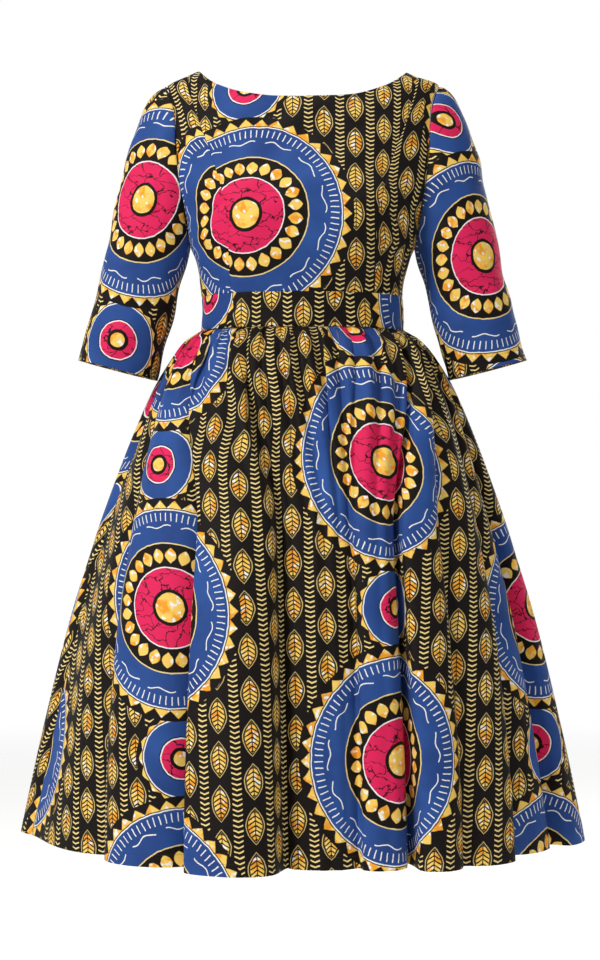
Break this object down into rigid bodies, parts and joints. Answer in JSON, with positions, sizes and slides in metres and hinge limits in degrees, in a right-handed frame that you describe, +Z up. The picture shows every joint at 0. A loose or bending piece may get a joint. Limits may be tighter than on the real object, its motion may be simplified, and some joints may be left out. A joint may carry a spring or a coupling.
{
  "type": "dress",
  "caption": "Knee-length dress in patterned cotton with a boat neck, elbow sleeves, a set-in waistband and a full gathered skirt.",
  "frame": {"origin": "where the wearer's shoulders hold it: midway between the neck ends of the two shoulder seams", "axes": "+Z up, front towards -Y, the wearer's left towards +X"},
  "size_m": [0.8123, 0.5866, 1.0872],
  "materials": {
    "print_cotton": "woven printed cotton with a slight sheen",
    "zip_nylon": "dark nylon coil",
    "zip_metal": "dark enamelled zip slider and pull"
  },
  "bodies": {
    "dress": {"bodice_front_centre": "print_cotton", "bodice_side_front_left": "print_cotton", "bodice_side_front_right": "print_cotton", "bodice_back_left": "print_cotton", "bodice_back_right": "print_cotton", "waistband_front": "print_cotton", "waistband_back_left": "print_cotton", "waistband_back_right": "print_cotton", "skirt_front": "print_cotton", "skirt_back_left": "print_cotton", "skirt_back_right": "print_cotton", "sleeve_left": "print_cotton", "sleeve_right": "print_cotton", "zip_coil": "zip_nylon", "zip_slider": "zip_metal"},
    "zip_pull": {"zip_pull": "zip_metal"}
  },
  "joints": [
    {"name": "zip_pull_swing", "type": "hinge", "parent": "dress", "child": "zip_pull", "pos_m": [0, 0.06424, -0.03756], "axis": [1, 0, 0], "range_deg": [0, 150]}
  ]
}
